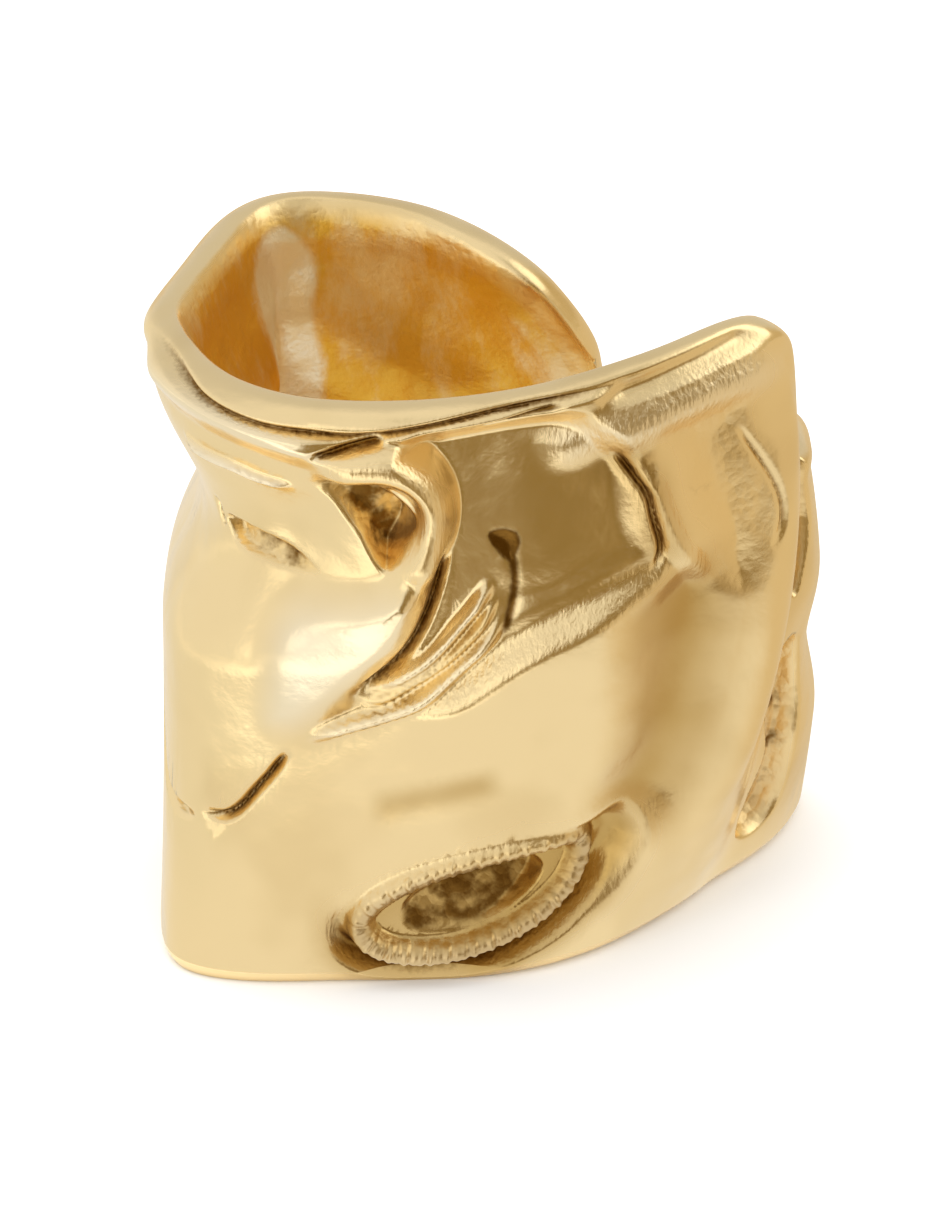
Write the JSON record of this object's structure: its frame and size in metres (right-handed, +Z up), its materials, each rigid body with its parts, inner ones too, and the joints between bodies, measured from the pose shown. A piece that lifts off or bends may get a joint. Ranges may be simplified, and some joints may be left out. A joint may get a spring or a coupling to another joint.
{
  "type": "ear cuff",
  "caption": "Wide open ear cuff of crumpled, polished gold-coloured metal with a rolled lip, pressed creases and a raised flap beside its opening.",
  "frame": {"origin": "centre of the bounding box in plan, on the surface that the cuff stands on", "axes": "+Z up through the hollow, from the foot to the rolled lip; -Y towards the broad crumpled front; +X towards the flap and the bulge beside the opening, which is at the back right"},
  "size_m": [0.014, 0.0112, 0.0144],
  "materials": {
    "gold": "polished gold-coloured cast metal, satin in the creases"
  },
  "bodies": {
    "root": {"cuff_band": "gold"}
  },
  "joints": []
}
